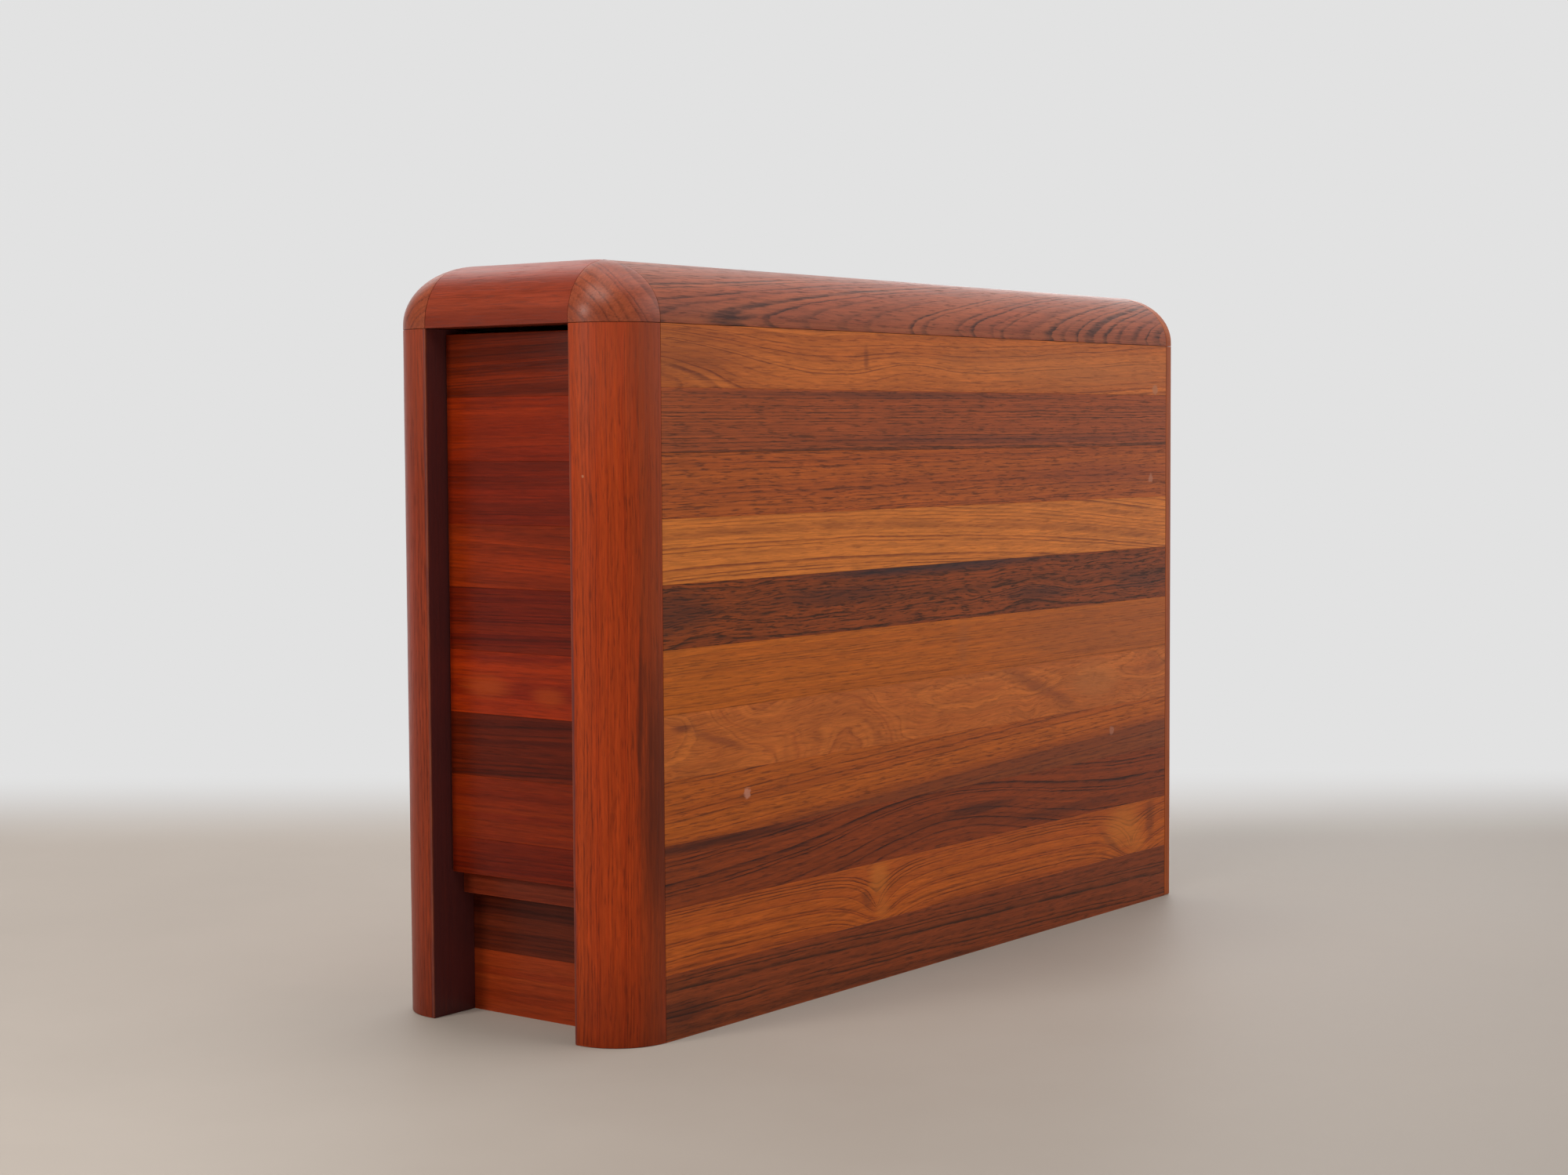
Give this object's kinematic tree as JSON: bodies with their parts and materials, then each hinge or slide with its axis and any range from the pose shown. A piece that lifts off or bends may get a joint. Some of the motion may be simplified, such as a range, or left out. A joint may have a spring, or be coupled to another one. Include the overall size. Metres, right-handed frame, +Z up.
{
  "type": "sewing table",
  "caption": "Narrow rounded wooden sewing table, used as a side table, with a pull-out rack for fabric, thread and small tools behind its recessed front.",
  "frame": {"origin": "on the floor, under the middle of the case's length and width", "axes": "+Z up, -Y the way the recessed front faces and the rack pulls out, +X to the right as seen with the front on the near side, so +X is the side on the viewer's right when facing +Y"},
  "size_m": [0.23, 0.75, 0.54],
  "materials": {
    "teak": "solid teak, oiled, satin",
    "teak_veneer": "teak staves, oiled, satin",
    "beech": "beech, bare, smooth",
    "plywood": "plywood, lacquered",
    "zinc_plated_steel": "zinc plated",
    "nylon": "moulded",
    "brass": "plain"
  },
  "bodies": {
    "case": {"side_panel_left": "teak_veneer", "side_panel_right": "teak_veneer", "front_post_left": "teak", "front_post_right": "teak", "corner_block_left": "teak", "corner_block_right": "teak", "top_front_rail": "teak", "top_side_rail_left": "teak", "top_side_rail_right": "teak", "top_panel": "teak_veneer", "rear_lipping_left": "teak", "rear_lipping_right": "teak", "rear_lipping_top": "teak", "bottom_board": "plywood", "bottom_board_lipping": "teak", "plinth_board": "teak_veneer", "back_panel": "plywood", "back_cleat": "beech", "back_screw_lower_left": "brass", "back_screw_lower_right": "brass", "back_screw_upper_left": "brass", "back_screw_upper_right": "brass", "runner_batten_left": "beech", "runner_batten_right": "beech", "case_runner_left": "zinc_plated_steel", "case_runner_right": "zinc_plated_steel", "case_roller_pin_left": "zinc_plated_steel", "case_roller_pin_right": "zinc_plated_steel"},
    "rack": {"front_panel": "teak_veneer", "rack_bottom": "plywood", "rack_back": "teak", "rack_shelf": "plywood", "bin_side_left": "teak", "bin_side_right": "teak", "gallery_side_left": "teak", "gallery_side_right": "teak", "tray_ledge_left": "beech", "tray_ledge_right": "beech", "reel_board": "beech", "reel_peg_1": "beech", "reel_peg_2": "beech", "reel_peg_3": "beech", "reel_peg_4": "beech", "reel_peg_5": "beech", "reel_peg_6": "beech", "rack_runner_left": "zinc_plated_steel", "rack_runner_right": "zinc_plated_steel", "rack_roller_pin_left": "zinc_plated_steel", "rack_roller_pin_right": "zinc_plated_steel"},
    "tray": {"tray_base": "plywood", "tray_front": "teak", "tray_back": "teak", "tray_side_left": "teak", "tray_side_right": "teak", "tray_divider_1": "teak", "tray_divider_2": "teak"},
    "case_roller_left": {"case_roller_left": "nylon"},
    "case_roller_right": {"case_roller_right": "nylon"},
    "rack_roller_left": {"rack_roller_left": "nylon"},
    "rack_roller_right": {"rack_roller_right": "nylon"}
  },
  "joints": [
    {"name": "rack_slide", "type": "slide", "parent": "case", "child": "rack", "axis": [0, -1, 0], "range_m": [0, 0.46]},
    {"name": "tray_slide", "type": "slide", "parent": "rack", "child": "tray", "axis": [0, 1, 0], "range_m": [0, 0.32]},
    {"name": "case_roller_spin_left", "type": "hinge", "parent": "case", "child": "case_roller_left", "pos_m": [-0.0599, -0.309, 0.1702], "axis": [1, 0, 0], "continuous": true},
    {"name": "case_roller_spin_right", "type": "hinge", "parent": "case", "child": "case_roller_right", "pos_m": [0.0599, -0.309, 0.1702], "axis": [1, 0, 0], "continuous": true},
    {"name": "rack_roller_spin_left", "type": "hinge", "parent": "rack", "child": "rack_roller_left", "pos_m": [-0.0599, 0.248, 0.1625], "axis": [1, 0, 0], "continuous": true},
    {"name": "rack_roller_spin_right", "type": "hinge", "parent": "rack", "child": "rack_roller_right", "pos_m": [0.0599, 0.248, 0.1625], "axis": [1, 0, 0], "continuous": true}
  ],
  "couplings": [
    {"joint": "case_roller_spin_left", "follows": "rack_slide", "rad_per_m": 90.909},
    {"joint": "case_roller_spin_right", "follows": "rack_slide", "rad_per_m": 90.909},
    {"joint": "rack_roller_spin_left", "follows": "rack_slide", "rad_per_m": 90.909},
    {"joint": "rack_roller_spin_right", "follows": "rack_slide", "rad_per_m": 90.909}
  ]
}
